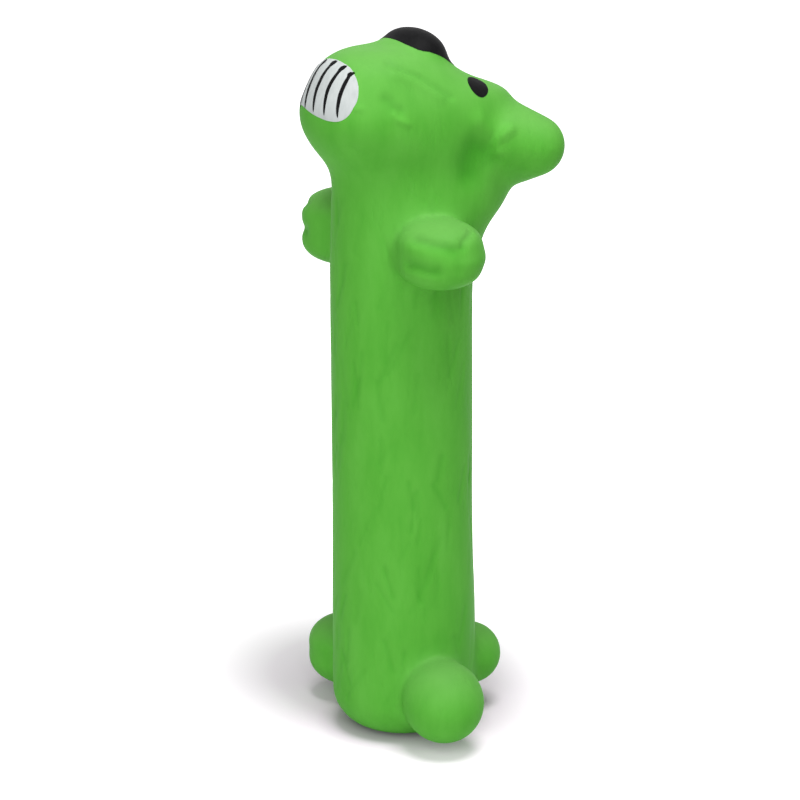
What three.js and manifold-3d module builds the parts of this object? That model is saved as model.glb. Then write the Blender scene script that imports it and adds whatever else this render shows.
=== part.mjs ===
// Squeaky dog toy: a long upright dog moulded as one hollow latex skin, packed with fibre,
// with a reed squeaker held in its flat base.
// Millimetres, +Z up, belly and teeth towards -Y, the toy's left side towards +X.
// The origin is the middle of the resting face, under the squeaker.

import * as THREE from 'three';
import { mergeVertices } from 'three/addons/utils/BufferGeometryUtils.js';
import Module from 'manifold-3d';

const wasm = await Module();
wasm.setup();

// Clearances
const fitGap = 0.3; // between two pieces that touch
const cutOverrun = 2; // how far a cutter passes what it cuts

// The skin and its zones, from the base up
const skinWall = 2;
const torsoRadius = 30;
const rumpFlare = 0.8; // extra radius just above the base
const baseRounding = 13;
const rumpHeight = 104;
const waistHeight = 28;
const chestHeight = 68;
const shoulderHeight = 30; // the back leans out over this height
const neckHeight = 13;
const headHeight = 54; // from the top of the neck to the crown, under the nose

// The head's reach from the body's axis
const muzzleReach = 45;
const napeReach = 54;
const headSide = 31;
const crownOffset = 3; // how far behind the axis the crown is

// Limbs: distance from the axis, height, half sizes outwards, round the body and upwards
const pawTurn = 84; // degrees round from the belly
const pawStandoff = 8; // from the torso's side out to the paw's middle
const pawRise = 15; // the paw's middle above the base of the shoulders
const pawOut = 17.5;
const pawAround = 18;
const pawUp = 16;
const footTurn = 86;
const footStandoff = 7.5;
const footLift = 21;
const footOut = 19;
const footAround = 18.5;
const footUp = 18.5;
const tailStandoff = 5;
const tailLift = 24;
const tailRadius = 14;
const limbPortRadius = 9; // the opening from the body into each limb
const limbWall = 2.2;

// Ears: root and tip, each a ball, measured in from the head's side and nape, and up from the neck
const earRootInset = 17;
const earRootDepth = 18;
const earRootRise = 16;
const earRootRadius = 14.5;
const earTipInset = 2;
const earTipDepth = 7;
const earTipRise = 11;
const earTipRadius = 13;
const earPortRadius = 7;

// Nose: a dome on the crown, tipped back
const noseBack = 7; // from the axis to its middle
const noseDrop = 4; // from the crown down to its middle
const noseSide = 17;
const noseLong = 12;
const noseUp = 10;
const noseTilt = 24; // degrees

// Painted coats
const coatThickness = 0.5;
const mouthDrop = 15.4; // from the crown down to the middle of the painted mouth
const mouthWidth = 38.8;
const mouthHeight = 21.2;
const mouthEndDrop = 4; // how much lower the mouth's ends are than its middle
const mouthFullShare = 0.7; // 1 makes the mouth an oval, less makes its ends fuller
const toothLineCount = 6;
const toothLineWidth = 1.1;
const toothLineMargin = 0.8; // from a line's ends to the mouth's edge
const toothLineTopShare = 0.86; // how far out a line's top is, as a share of its foot
const eyeSetbackShare = 0.396; // from the axis to the eyes, as a share of napeReach
const eyeDropShare = 0.311; // from the crown down to the eyes, as a share of headHeight
const eyeLength = 10;
const eyeWidth = 7;
const eyeTilt = -12; // degrees, its far end down

// Squeaker
const faceRadius = 7.2;
const faceThickness = 1.2;
const soundHoleCount = 6;
const soundHoleRadius = 0.8;
const soundHoleCircle = 4.6; // radius of the ring of holes
const flangeRim = 1.4; // the lower flange's wall round the face
const flangeFloor = 1.2; // the lower flange's thickness above the face
const grooveRadius = 7;
const lipThickness = 2.4; // the latex lip that sits in the groove
const upperFlangeRadius = 10;
const upperFlangeThickness = 1.4;
const towerRadius = 6.6;
const towerHeight = 7.5;
const towerWall = 1.2;
const bossWidth = 5; // latex round the squeaker's hole

// Reed
const collarBore = 2.2;
const collarWall = 0.8;
const collarDepth = 2.6; // below the tower's plate
const collarHeadRadius = 4.2;
const collarHeadThickness = 0.8;
const shallotWall = 0.5;
const shallotFloor = 1;
const shallotDrop = 6.5; // below the collar
const tongueWidth = 3;
const tongueThickness = 0.35;

// Facets
const skinColumns = 36;
const fibreColumns = 20;
const limbSegments = 18;
const limbRings = 10;
const turnedSegments = 24;
const baseArcSteps = 4;
const mouthSteps = 28;
const mouthRings = 4;
const eyeSteps = 14;
const eyeRings = 2;

// Tolerances
const mergeDistance = 1e-4;
const levelStep = 1e-3;
const levelTolerance = 1e-6;

// Heights worked out from the zones
const waistBase = rumpHeight;
const chestBase = waistBase + waistHeight;
const shoulderBase = chestBase + chestHeight;
const neckBase = shoulderBase + shoulderHeight;
const headBase = neckBase + neckHeight;
const crownHeight = headBase + headHeight;
const pawLift = shoulderBase + pawRise;
const pawDistance = torsoRadius + pawStandoff;
const footDistance = torsoRadius + footStandoff;
const tailDistance = torsoRadius + tailStandoff;
const mouthLift = crownHeight - mouthDrop;
const eyeSetback = napeReach * eyeSetbackShare;
const eyeLift = crownHeight - headHeight * eyeDropShare;
const radians = THREE.MathUtils.degToRad;

// Materials
function finish(color, roughness) {
  return new THREE.MeshStandardMaterial({ color, roughness, metalness: 0 });
}
const greenLatex = finish(0x55b53b, 0.55);
const blackPaint = finish(0x16141a, 0.4);
const whitePaint = finish(0xe6ebf0, 0.45);
const whitePlastic = finish(0xe9e7e0, 0.35);
const reedPlastic = finish(0xd8c98a, 0.3);
const whiteFibre = finish(0xf2f0ea, 0.95);

const toy = new THREE.Group();

function addPart(name, geometry, material) {
  const mesh = new THREE.Mesh(geometry, material);
  mesh.name = name;
  toy.add(mesh);
  return mesh;
}

// Solids for cutting and joining
function toSolid(geometry) {
  const plain = geometry.clone();
  plain.deleteAttribute('normal');
  plain.deleteAttribute('uv');
  const merged = mergeVertices(plain, mergeDistance);
  const vertProperties = new Float32Array(merged.attributes.position.array);
  const triVerts = new Uint32Array(merged.index.array);
  return new wasm.Manifold(new wasm.Mesh({ numProp: 3, vertProperties, triVerts }));
}

function toGeometry(solid) {
  const mesh = solid.getMesh();
  const geometry = new THREE.BufferGeometry();
  geometry.setAttribute('position', new THREE.BufferAttribute(mesh.vertProperties, 3));
  geometry.setIndex(new THREE.BufferAttribute(mesh.triVerts, 1));
  geometry.computeVertexNormals();
  return geometry;
}

// The skin's level curves: height, reach to the front, back and side, and the roundness of the
// front and of the back half, from 1 for an oval down to less for a squarer one.
// Shares of headHeight, muzzleReach, napeReach and headSide, from the top of the neck to the crown.
const headShares = [
  [0.11, 0.73, 1.05, 0.97, 0.95, 0.95],
  [0.25, 0.855, 0.973, 0.99, 0.88, 0.85],
  [0.39, 0.94, 0.92, 1.0, 0.84, 0.76],
  [0.53, 0.96, 0.88, 0.98, 0.82, 0.68],
  [0.64, 0.92, 0.78, 0.92, 0.82, 0.62],
  [0.75, 0.86, 0.5, 0.82, 0.85, 0.62],
  [0.85, 0.79, 0.335, 0.69, 0.9, 0.7],
  [0.93, 0.65, 0.25, 0.52, 0.95, 0.82],
  [0.98, 0.42, 0.17, 0.31, 1.0, 1.0],
];

// The shoulders' lean outwards at the back, in equal steps up to the neck
const leanShares = [0.12, 0.36, 0.77];

function levelRows() {
  const rows = [];
  const flatRadius = torsoRadius + rumpFlare - baseRounding;
  for (let i = 0; i <= baseArcSteps; i++) {
    const turn = (i / baseArcSteps) * (Math.PI / 2);
    const reach = flatRadius + baseRounding * Math.sin(turn);
    rows.push([baseRounding * (1 - Math.cos(turn)), reach, reach, reach, 1, 1]);
  }
  const flareMiddle = torsoRadius + rumpFlare / 2;
  rows.push([(baseRounding + waistBase) / 2, flareMiddle, flareMiddle, flareMiddle, 1, 1]);
  for (const height of [waistBase, chestBase, shoulderBase]) {
    rows.push([height, torsoRadius, torsoRadius, torsoRadius, 1, 1]);
  }
  const lean = napeReach - torsoRadius;
  leanShares.forEach((leanShare, i) => {
    const height = shoulderBase + (shoulderHeight * (i + 1)) / leanShares.length;
    rows.push([height, torsoRadius, torsoRadius + lean * leanShare, torsoRadius, 1, 1]);
  });
  rows.push([headBase, torsoRadius, napeReach, torsoRadius, 1, 1]);
  for (const [heightShare, frontShare, backShare, sideShare, ...roundShares] of headShares) {
    rows.push([
      headBase + headHeight * heightShare,
      muzzleReach * frontShare,
      napeReach * backShare,
      headSide * sideShare,
      ...roundShares,
    ]);
  }
  rows.push([crownHeight, -crownOffset, crownOffset, 0, 1, 1]);
  return rows;
}

const rows = levelRows();

// The row at any level, smooth between the listed ones
function rowAt(level) {
  const i = Math.min(Math.floor(level), rows.length - 2);
  const t = level - i;
  const before = rows[Math.max(i - 1, 0)];
  const after = rows[Math.min(i + 2, rows.length - 1)];
  return rows[i].map((value, k) => {
    const next = rows[i + 1][k];
    const slopeIn = (next - before[k]) / 2;
    const slopeOut = (after[k] - value) / 2;
    const square = t * t;
    const cube = square * t;
    return (
      (2 * cube - 3 * square + 1) * value +
      (cube - 2 * square + t) * slopeIn +
      (3 * square - 2 * cube) * next +
      (cube - square) * slopeOut
    );
  });
}

// A point of the skin's outer face, turned round from the front
function facePoint(turn, level) {
  const [height, front, back, side, frontRound, backRound] = rowAt(level);
  const centre = (back - front) / 2;
  const reach = (back + front) / 2;
  const across = Math.sin(turn);
  const along = Math.cos(turn);
  const roundness = along > 0 ? frontRound : backRound;
  const fill = (value) => Math.sign(value) * Math.abs(value) ** roundness;
  return new THREE.Vector3(side * fill(across), centre - reach * fill(along), height);
}

// The same point moved out from the skin by a lift, or in when it is negative
function skinPoint(turn, level, lift) {
  const top = rows.length - 1;
  const ahead = facePoint(turn + levelStep, level);
  const around = ahead.sub(facePoint(turn - levelStep, level));
  const upper = facePoint(turn, Math.min(level + levelStep, top));
  const up = upper.sub(facePoint(turn, Math.max(level - levelStep, 0)));
  const outward = around.cross(up).normalize();
  return facePoint(turn, level).addScaledVector(outward, lift);
}

// The level at which a point, lifted or not, has this height
function levelOf(height, turn = 0, lift = 0) {
  let low = 0;
  let high = rows.length - 1;
  while (high - low > levelTolerance) {
    const middle = (low + high) / 2;
    if (skinPoint(turn, middle, lift).z < height) {
      low = middle;
    } else {
      high = middle;
    }
  }
  return (low + high) / 2;
}

// A closed skin of rings between two end points, or a closed ring of rings without them
function loft(rings, startPoint, endPoint) {
  const count = rings[0].length;
  const points = rings.flat();
  const index = [];
  const joins = startPoint ? rings.length - 1 : rings.length;
  for (let r = 0; r < joins; r++) {
    const lower = r * count;
    const upper = ((r + 1) % rings.length) * count;
    for (let j = 0; j < count; j++) {
      const k = (j + 1) % count;
      index.push(lower + j, lower + k, upper + k);
      index.push(lower + j, upper + k, upper + j);
    }
  }
  if (startPoint) {
    const last = (rings.length - 1) * count;
    const start = points.push(startPoint) - 1;
    const end = points.push(endPoint) - 1;
    for (let j = 0; j < count; j++) {
      const k = (j + 1) % count;
      index.push(start, k, j);
      index.push(end, last + j, last + k);
    }
  }
  const geometry = new THREE.BufferGeometry().setFromPoints(points);
  geometry.setIndex(index);
  geometry.computeVertexNormals();
  return geometry;
}

function columnTurns(columns) {
  return Array.from({ length: columns }, (_, j) => (j / columns) * 2 * Math.PI);
}

function levelRing(level, lift, columns) {
  return columnTurns(columns).map((turn) => skinPoint(turn, level, lift));
}

// A ring that lies flat at one height
function flatRing(height, lift, columns) {
  return columnTurns(columns).map((turn) => {
    const point = skinPoint(turn, levelOf(height, turn, lift), lift);
    return point.setZ(height);
  });
}

// Rings from one height to another, at every listed row between them
function zoneRings(low, high, lift, columns) {
  const rings = [flatRing(low, lift, columns)];
  rows.forEach((row, level) => {
    if (row[0] > low + cutOverrun && row[0] < high - cutOverrun) {
      rings.push(levelRing(level, lift, columns));
    }
  });
  rings.push(flatRing(high, lift, columns));
  return rings;
}

function axisPoint(height, lean = 0) {
  return new THREE.Vector3(0, lean, height);
}

// A stretch of skin, open at both ends
function sleeve(low, high) {
  const outer = zoneRings(low, high, 0, skinColumns);
  const inner = zoneRings(low, high, -skinWall, skinColumns);
  return loft([...outer, ...inner.reverse()]);
}

// Everything inside a face of the toy, from one height to another
function filling(low, high, lift, columns) {
  const rings = zoneRings(low, high, lift, columns);
  const lean = (rings.at(-1)[columns / 2].y + rings.at(-1)[0].y) / 2;
  return loft(rings, axisPoint(low), axisPoint(high, lean));
}

// Rings from a height up to just under the crown
function domeRings(low, lift, columns) {
  const rings = [flatRing(low, lift, columns)];
  rows.slice(0, -1).forEach((row, level) => {
    if (row[0] > low + cutOverrun) {
      rings.push(levelRing(level, lift, columns));
    }
  });
  return rings;
}

function crown(lift) {
  return axisPoint(crownHeight + lift, crownOffset);
}

// The whole outside of the toy, grown by a lift: what the limbs are cut back to
function wholeBody(lift) {
  const rings = rows.slice(0, -1).map((_, level) => levelRing(level, lift, skinColumns));
  return toSolid(loft(rings, axisPoint(rings[0][0].z), crown(lift)));
}

// A ball stretched along three axes, turned round the body and set at its place
function lobe(turn, distance, lift, out, around, up) {
  const ball = new THREE.SphereGeometry(1, limbSegments, limbRings);
  ball.rotateX(Math.PI / 2);
  ball.scale(around, out, up);
  ball.translate(0, -distance, lift);
  ball.rotateZ(turn);
  return toSolid(ball);
}

// The round opening that joins a limb's hollow to the body's
function port(turn, lift, radius, reach) {
  const drill = new THREE.CylinderGeometry(radius, radius, reach, limbSegments);
  drill.translate(0, -reach / 2, 0);
  drill.translate(0, 0, lift);
  drill.rotateZ(turn);
  return toSolid(drill);
}

const sides = [
  { name: 'left', sign: 1 },
  { name: 'right', sign: -1 },
];
const clearBody = wholeBody(fitGap);

// Limbs, each a hollow lobe that opens into the body
function addLobe(name, shape, hollow) {
  addPart(name, toGeometry(shape.subtract(hollow).subtract(clearBody)), greenLatex);
}

// Three fingers stacked up the paw: height, reach outwards and round the body, and half thickness,
// as shares of the paw's half sizes
const fingerShares = [
  [0.5, 0.9, 0.92, 0.5],
  [0.0, 1.0, 1.0, 0.52],
  [-0.5, 0.88, 0.92, 0.5],
];
function pawSolid(turn, inset) {
  const fingers = fingerShares.map(([lift, out, around, up]) =>
    lobe(
      turn,
      pawDistance,
      pawLift + pawUp * lift,
      pawOut * out - inset,
      pawAround * around - inset,
      pawUp * up - inset,
    ),
  );
  return fingers[0].add(fingers[1]).add(fingers[2]);
}

function hollowLobe(turn, distance, lift, out, around, up) {
  return lobe(turn, distance, lift, out - limbWall, around - limbWall, up - limbWall);
}

for (const { name, sign } of sides) {
  const pawAngle = sign * radians(pawTurn);
  const footAngle = sign * radians(footTurn);
  addLobe(`${name}_paw`, pawSolid(pawAngle, 0), pawSolid(pawAngle, limbWall));
  addLobe(
    `${name}_foot`,
    lobe(footAngle, footDistance, footLift, footOut, footAround, footUp),
    hollowLobe(footAngle, footDistance, footLift, footOut, footAround, footUp),
  );
}
addLobe(
  'tail',
  lobe(Math.PI, tailDistance, tailLift, tailRadius, tailRadius, tailRadius),
  hollowLobe(Math.PI, tailDistance, tailLift, tailRadius, tailRadius, tailRadius),
);

// Ears, each a round-ended flap that runs back and out from the skull
const earRoot = new THREE.Vector3(
  headSide - earRootInset,
  napeReach - earRootDepth,
  headBase + earRootRise,
);
const earTip = new THREE.Vector3(
  headSide - earTipInset,
  napeReach - earTipDepth,
  headBase + earTipRise,
);
const earStationShares = [0, 0.5, 1];
function earSolid(sign, inset) {
  const balls = earStationShares.map((share) => {
    const radius = THREE.MathUtils.lerp(earRootRadius, earTipRadius, share) - inset;
    const ball = new THREE.SphereGeometry(radius, limbSegments, limbRings);
    ball.rotateX(Math.PI / 2);
    const place = earRoot.clone().lerp(earTip, share);
    ball.translate(sign * place.x, place.y, place.z);
    return toSolid(ball);
  });
  return wasm.Manifold.hull(balls);
}
for (const { name, sign } of sides) {
  addLobe(`${name}_ear`, earSolid(sign, 0), earSolid(sign, limbWall));
}

// The nose, a tipped dome that opens into the head
function noseSolid(inset) {
  const dome = new THREE.SphereGeometry(1, limbSegments, limbRings);
  dome.rotateX(Math.PI / 2);
  dome.scale(noseSide - inset, noseLong - inset, noseUp - inset);
  dome.rotateX(-radians(noseTilt));
  dome.translate(0, noseBack, crownHeight - noseDrop);
  return toSolid(dome);
}
addPart(
  'nose',
  toGeometry(noseSolid(0).subtract(noseSolid(limbWall)).subtract(clearBody)),
  blackPaint,
);

// The torso's skin, cut through where the limbs open into it
function portsAt(places) {
  return places.map(([turn, lift, radius, reach]) => port(turn, lift, radius, reach));
}
function cutPorts(geometry, ports) {
  return ports.reduce((solid, drill) => solid.subtract(drill), toSolid(geometry));
}

const footPorts = portsAt(
  sides.map(({ sign }) => [
    sign * radians(footTurn),
    footLift,
    limbPortRadius,
    footDistance,
  ]),
);
const tailPort = portsAt([[Math.PI, tailLift, limbPortRadius, tailDistance]]);
const pawPorts = portsAt(
  sides.map(({ sign }) => [sign * radians(pawTurn), pawLift, limbPortRadius, pawDistance]),
);

// Heights and radii of the squeaker's seat in the latex
const flangeRadius = faceRadius + fitGap + flangeRim;
const flangeTop = faceThickness + fitGap + flangeFloor;
const lipBase = flangeTop + fitGap;
const lipTop = lipBase + lipThickness;
const upperFlangeBase = lipTop + fitGap;
const upperFlangeTop = upperFlangeBase + upperFlangeThickness;
const towerTop = upperFlangeTop + towerHeight;
const seatRadius = flangeRadius + fitGap;
const lipRadius = grooveRadius + fitGap;

function turned(points) {
  const profile = points.map(([radius, height]) => new THREE.Vector2(radius, height));
  const geometry = new THREE.LatheGeometry(profile, turnedSegments);
  geometry.rotateX(Math.PI / 2);
  return geometry;
}

function rumpSkin() {
  const high = waistBase - fitGap;
  const below = rows.map((row, level) => [row[0], level]).filter(([height]) => height < high);
  const ringsOf = (lift) => [
    ...below.map(([, level]) => levelRing(level, lift, skinColumns)),
    flatRing(high, lift, skinColumns),
  ];
  const shell = loft(
    [...ringsOf(0), ...ringsOf(-skinWall).reverse()],
    axisPoint(0),
    axisPoint(skinWall),
  );
  const boss = turned([
    [0, skinWall / 2],
    [seatRadius + bossWidth, skinWall / 2],
    [seatRadius + bossWidth, lipTop],
    [0, lipTop],
  ]);
  const seat = turned([
    [0, -cutOverrun],
    [seatRadius, -cutOverrun],
    [seatRadius, lipBase],
    [lipRadius, lipBase],
    [lipRadius, lipTop + cutOverrun],
    [0, lipTop + cutOverrun],
  ]);
  const body = toSolid(shell).add(toSolid(boss)).subtract(toSolid(seat));
  return [...footPorts, ...tailPort].reduce((solid, drill) => solid.subtract(drill), body);
}

addPart('rump_skin', toGeometry(rumpSkin()), greenLatex);
addPart('waist_skin', sleeve(waistBase, chestBase - fitGap), greenLatex);
addPart('chest_skin', sleeve(chestBase, shoulderBase - fitGap), greenLatex);
addPart(
  'shoulder_skin',
  toGeometry(cutPorts(sleeve(shoulderBase, neckBase - fitGap), pawPorts)),
  greenLatex,
);
addPart('neck_skin', sleeve(neckBase, headBase - fitGap), greenLatex);

function headSkin() {
  const outer = domeRings(headBase, 0, skinColumns);
  const inner = domeRings(headBase, -skinWall, skinColumns);
  return loft([...inner.reverse(), ...outer], crown(-skinWall), crown(0));
}
const earPorts = sides.map(({ sign }) => {
  const drill = new THREE.SphereGeometry(earPortRadius, limbSegments, limbRings);
  drill.rotateX(Math.PI / 2);
  drill.translate(sign * earRoot.x, earTip.y, earTip.z);
  return toSolid(drill);
});
addPart('head_skin', toGeometry(cutPorts(headSkin(), earPorts)), greenLatex);

// Fibre, packed against the skin all the way up
const fibreInset = -(skinWall + fitGap);
function rumpFibre() {
  const floor = upperFlangeTop + fitGap;
  const wad = filling(floor, waistBase - fitGap, fibreInset, fibreColumns);
  const pocketRadius = towerRadius + fitGap;
  const pocket = turned([
    [0, floor - cutOverrun],
    [pocketRadius, floor - cutOverrun],
    [pocketRadius, towerTop + collarHeadThickness + fitGap * 2],
    [0, towerTop + collarHeadThickness + fitGap * 2],
  ]);
  return toGeometry(toSolid(wad).subtract(toSolid(pocket)));
}
addPart('rump_fibre', rumpFibre(), whiteFibre);
const fibreZones = [
  ['waist_fibre', waistBase, chestBase],
  ['chest_fibre', chestBase, neckBase],
  ['neck_fibre', neckBase, headBase],
];
for (const [name, low, high] of fibreZones) {
  addPart(name, filling(low, high - fitGap, fibreInset, fibreColumns), whiteFibre);
}
addPart(
  'head_fibre',
  loft(domeRings(headBase, fibreInset, fibreColumns), axisPoint(headBase), crown(fibreInset)),
  whiteFibre,
);

// A painted coat: a thin patch that follows the skin.
// placed gives the skin's point at a distance sideways and upwards from the coat's middle.
function coat(placed, outline, ringCount) {
  const ringAt = (share, lift) =>
    outline.map(([sideways, upwards]) => placed(sideways * share, upwards * share, lift));
  const shares = Array.from({ length: ringCount }, (_, i) => (i + 1) / ringCount);
  const under = shares.map((share) => ringAt(share, fitGap));
  const over = shares.map((share) => ringAt(share, fitGap + coatThickness)).reverse();
  return loft([...under, ...over], placed(0, 0, fitGap), placed(0, 0, fitGap + coatThickness));
}

// An oval, with fuller ends where its share is under 1
function oval(halfSide, halfUp, steps, fullShare, tilt = 0) {
  const fill = (value) => Math.sign(value) * Math.abs(value) ** fullShare;
  const middle = new THREE.Vector2();
  return Array.from({ length: steps }, (_, i) => {
    const turn = (i / steps) * 2 * Math.PI;
    const point = new THREE.Vector2(fill(Math.cos(turn)) * halfSide, fill(Math.sin(turn)) * halfUp);
    return point.rotateAround(middle, tilt).toArray();
  });
}

// The muzzle's point at a distance sideways and a height, as seen from the front
function muzzlePoint(side, height, lift) {
  const level = levelOf(height);
  const [, , , halfSide, roundness] = rowAt(level);
  const across = (Math.abs(side) / halfSide) ** (1 / roundness);
  return skinPoint(Math.sign(side) * Math.asin(across), level, lift);
}

// A point of the skin's face by its place in the side view, behind the axis and up
function profilePoint(sign, behind, height, lift) {
  const level = levelOf(height);
  const [, front, back, , frontRound, backRound] = rowAt(level);
  const share = (2 * behind - back + front) / (back + front);
  const along = Math.abs(share) ** (1 / (share < 0 ? frontRound : backRound));
  return skinPoint(sign * Math.acos(-Math.sign(share) * along), level, lift);
}

// How far the mouth drops at a distance sideways, and half its height there
function mouthFall(side) {
  return mouthEndDrop * (side / (mouthWidth / 2)) ** 2;
}
function mouthHalf(side) {
  const along = Math.abs(side / (mouthWidth / 2)) ** (1 / mouthFullShare);
  return (mouthHeight / 2) * Math.sqrt(1 - along ** 2) ** mouthFullShare;
}
addPart(
  'tooth_coat',
  coat(
    (side, up, lift) => muzzlePoint(side, mouthLift + up - mouthFall(side), lift),
    oval(mouthWidth / 2, mouthHeight / 2, mouthSteps, mouthFullShare),
    mouthRings,
  ),
  whitePaint,
);

// A painted line between two teeth: a strip that leans in and widens upwards
const lineWidthShares = [0.55, 0.75, 0.85, 0.9, 0.95, 1.0, 0.9];
function toothLine(footSide) {
  const topSide = footSide * toothLineTopShare;
  const low = mouthLift - mouthFall(footSide) - mouthHalf(footSide) + toothLineMargin;
  const high = mouthLift - mouthFall(topSide) + mouthHalf(topSide) - toothLineMargin;
  const inner = fitGap + coatThickness + fitGap;
  const outer = inner + coatThickness;
  const rings = lineWidthShares.map((widthShare, i) => {
    const share = i / (lineWidthShares.length - 1);
    const height = THREE.MathUtils.lerp(low, high, share);
    const side = THREE.MathUtils.lerp(footSide, topSide, share);
    const half = (toothLineWidth * widthShare) / 2;
    return [
      muzzlePoint(side - half, height, inner),
      muzzlePoint(side - half, height, outer),
      muzzlePoint(side + half, height, outer),
      muzzlePoint(side + half, height, inner),
    ];
  });
  const middleOf = (ring) =>
    ring.reduce((sum, point) => sum.add(point), new THREE.Vector3()).divideScalar(ring.length);
  return loft(rings, middleOf(rings[0]), middleOf(rings.at(-1)));
}
for (let i = 0; i < toothLineCount; i++) {
  const footSide = (mouthWidth / toothLineCount) * (i - (toothLineCount - 1) / 2);
  addPart(`tooth_line_${i + 1}`, toothLine(footSide), blackPaint);
}
for (const { name, sign } of sides) {
  const outline = oval(eyeLength / 2, eyeWidth / 2, eyeSteps, 1, radians(eyeTilt));
  addPart(
    `${name}_eye_coat`,
    coat(
      (along, up, lift) => profilePoint(sign, eyeSetback + along, eyeLift + up, lift),
      sign > 0 ? outline : outline.toReversed(),
      eyeRings,
    ),
    blackPaint,
  );
}

// Squeaker body: a spool that the latex lip grips, with a tower for the reed
addPart(
  'squeaker_body',
  turned([
    [flangeRadius, 0],
    [flangeRadius, flangeTop],
    [grooveRadius, flangeTop],
    [grooveRadius, upperFlangeBase],
    [upperFlangeRadius, upperFlangeBase],
    [upperFlangeRadius, upperFlangeTop],
    [towerRadius, upperFlangeTop],
    [towerRadius, towerTop],
    [collarBore + collarWall + fitGap, towerTop],
    [collarBore + collarWall + fitGap, towerTop - towerWall],
    [towerRadius - towerWall, towerTop - towerWall],
    [towerRadius - towerWall, faceThickness + fitGap],
    [faceRadius + fitGap, faceThickness + fitGap],
    [faceRadius + fitGap, 0],
    [flangeRadius, 0],
  ]),
  whitePlastic,
);

// Squeaker face: the disc in the base, with its ring of sound holes
function squeakerFace() {
  const disc = new THREE.Shape();
  disc.absarc(0, 0, faceRadius, 0, 2 * Math.PI);
  for (let i = 0; i < soundHoleCount; i++) {
    const turn = (i / soundHoleCount) * 2 * Math.PI;
    const hole = new THREE.Path();
    hole.absarc(
      soundHoleCircle * Math.cos(turn),
      soundHoleCircle * Math.sin(turn),
      soundHoleRadius,
      0,
      2 * Math.PI,
    );
    disc.holes.push(hole);
  }
  return new THREE.ExtrudeGeometry(disc, {
    depth: faceThickness,
    bevelEnabled: false,
    curveSegments: turnedSegments / 2,
  });
}
addPart('squeaker_face', squeakerFace(), whitePlastic);

// Reed: a collar in the tower's plate, a half-round shallot and the tongue that beats on it
const collarRadius = collarBore + collarWall;
const collarBase = towerTop - towerWall - collarDepth;
const collarTop = towerTop + fitGap + collarHeadThickness;
addPart(
  'reed_collar',
  turned([
    [collarBore, collarBase],
    [collarRadius, collarBase],
    [collarRadius, towerTop + fitGap],
    [collarHeadRadius, towerTop + fitGap],
    [collarHeadRadius, collarTop],
    [collarBore, collarTop],
    [collarBore, collarBase],
  ]),
  whitePlastic,
);

const shallotRadius = collarBore - fitGap;
const shallotBase = collarBase - shallotDrop;
function shallotSolid() {
  const height = collarTop - shallotBase;
  const halfDisc = new THREE.Shape().moveTo(shallotRadius, 0);
  halfDisc.absarc(0, 0, shallotRadius, 0, Math.PI).closePath();
  const block = new THREE.ExtrudeGeometry(halfDisc, {
    depth: height,
    bevelEnabled: false,
    curveSegments: turnedSegments / 2,
  });
  const channelRadius = shallotRadius - shallotWall;
  const channel = new THREE.CylinderGeometry(channelRadius, channelRadius, height, turnedSegments);
  channel.rotateX(Math.PI / 2);
  channel.translate(0, 0, shallotFloor + height / 2);
  const shallot = toSolid(block).subtract(toSolid(channel));
  return toGeometry(shallot.translate([0, 0, shallotBase]));
}
addPart('reed_shallot', shallotSolid(), whitePlastic);

const tongueTop = collarTop - collarHeadThickness;
const tongueHeight = tongueTop - shallotBase;
const tongue = new THREE.BoxGeometry(tongueWidth, tongueThickness, tongueHeight);
const tongueMesh = addPart('reed_tongue', tongue, reedPlastic);
tongueMesh.position.set(0, -fitGap - tongueThickness / 2, shallotBase + tongueHeight / 2);

export default toy;
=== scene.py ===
import math
import random

import bpy
import numpy as np
from mathutils import Matrix, Vector, noise


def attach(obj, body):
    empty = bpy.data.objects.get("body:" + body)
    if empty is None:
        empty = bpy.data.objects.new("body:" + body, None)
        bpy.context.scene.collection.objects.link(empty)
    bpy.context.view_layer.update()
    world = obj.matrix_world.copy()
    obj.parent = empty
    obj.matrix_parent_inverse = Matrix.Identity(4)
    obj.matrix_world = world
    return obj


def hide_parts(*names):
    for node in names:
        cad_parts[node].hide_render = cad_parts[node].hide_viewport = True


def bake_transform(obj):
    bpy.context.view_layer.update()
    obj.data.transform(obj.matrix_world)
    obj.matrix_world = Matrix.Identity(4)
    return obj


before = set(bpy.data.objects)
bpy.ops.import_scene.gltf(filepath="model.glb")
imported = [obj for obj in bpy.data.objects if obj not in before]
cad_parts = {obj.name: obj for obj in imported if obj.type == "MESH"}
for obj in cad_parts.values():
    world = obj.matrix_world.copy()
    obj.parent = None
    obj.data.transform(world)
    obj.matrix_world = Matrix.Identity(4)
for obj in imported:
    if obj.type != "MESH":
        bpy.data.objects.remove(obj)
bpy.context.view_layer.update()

print('the frame is loaded')


# Small tools for objects
def deselectAll():
    bpy.ops.object.select_all(action='DESELECT')


def choose(obj):
    deselectAll()
    obj.select_set(True)
    bpy.context.view_layer.objects.active = obj


def settle(obj, name):
    choose(obj)
    bpy.ops.object.transform_apply(location=True, rotation=True, scale=True)
    obj.name = name
    obj.data.name = name
    return obj


def finishModifiers(obj):
    choose(obj)
    for modifier in list(obj.modifiers):
        bpy.ops.object.modifier_apply(modifier=modifier.name)


def joinInto(target, others):
    deselectAll()
    for other in others:
        other.select_set(True)
    target.select_set(True)
    bpy.context.view_layer.objects.active = target
    bpy.ops.object.join()
    return target


def copyOf(obj, name):
    twin = obj.copy()
    twin.data = obj.data.copy()
    twin.name = name
    twin.data.name = name
    bpy.context.collection.objects.link(twin)
    return twin


def putMaterial(obj, material):
    obj.data.materials.clear()
    obj.data.materials.append(material)


def shadeSmooth(obj, crease):
    choose(obj)
    bpy.ops.object.shade_smooth_by_angle(angle=math.radians(crease))


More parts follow.
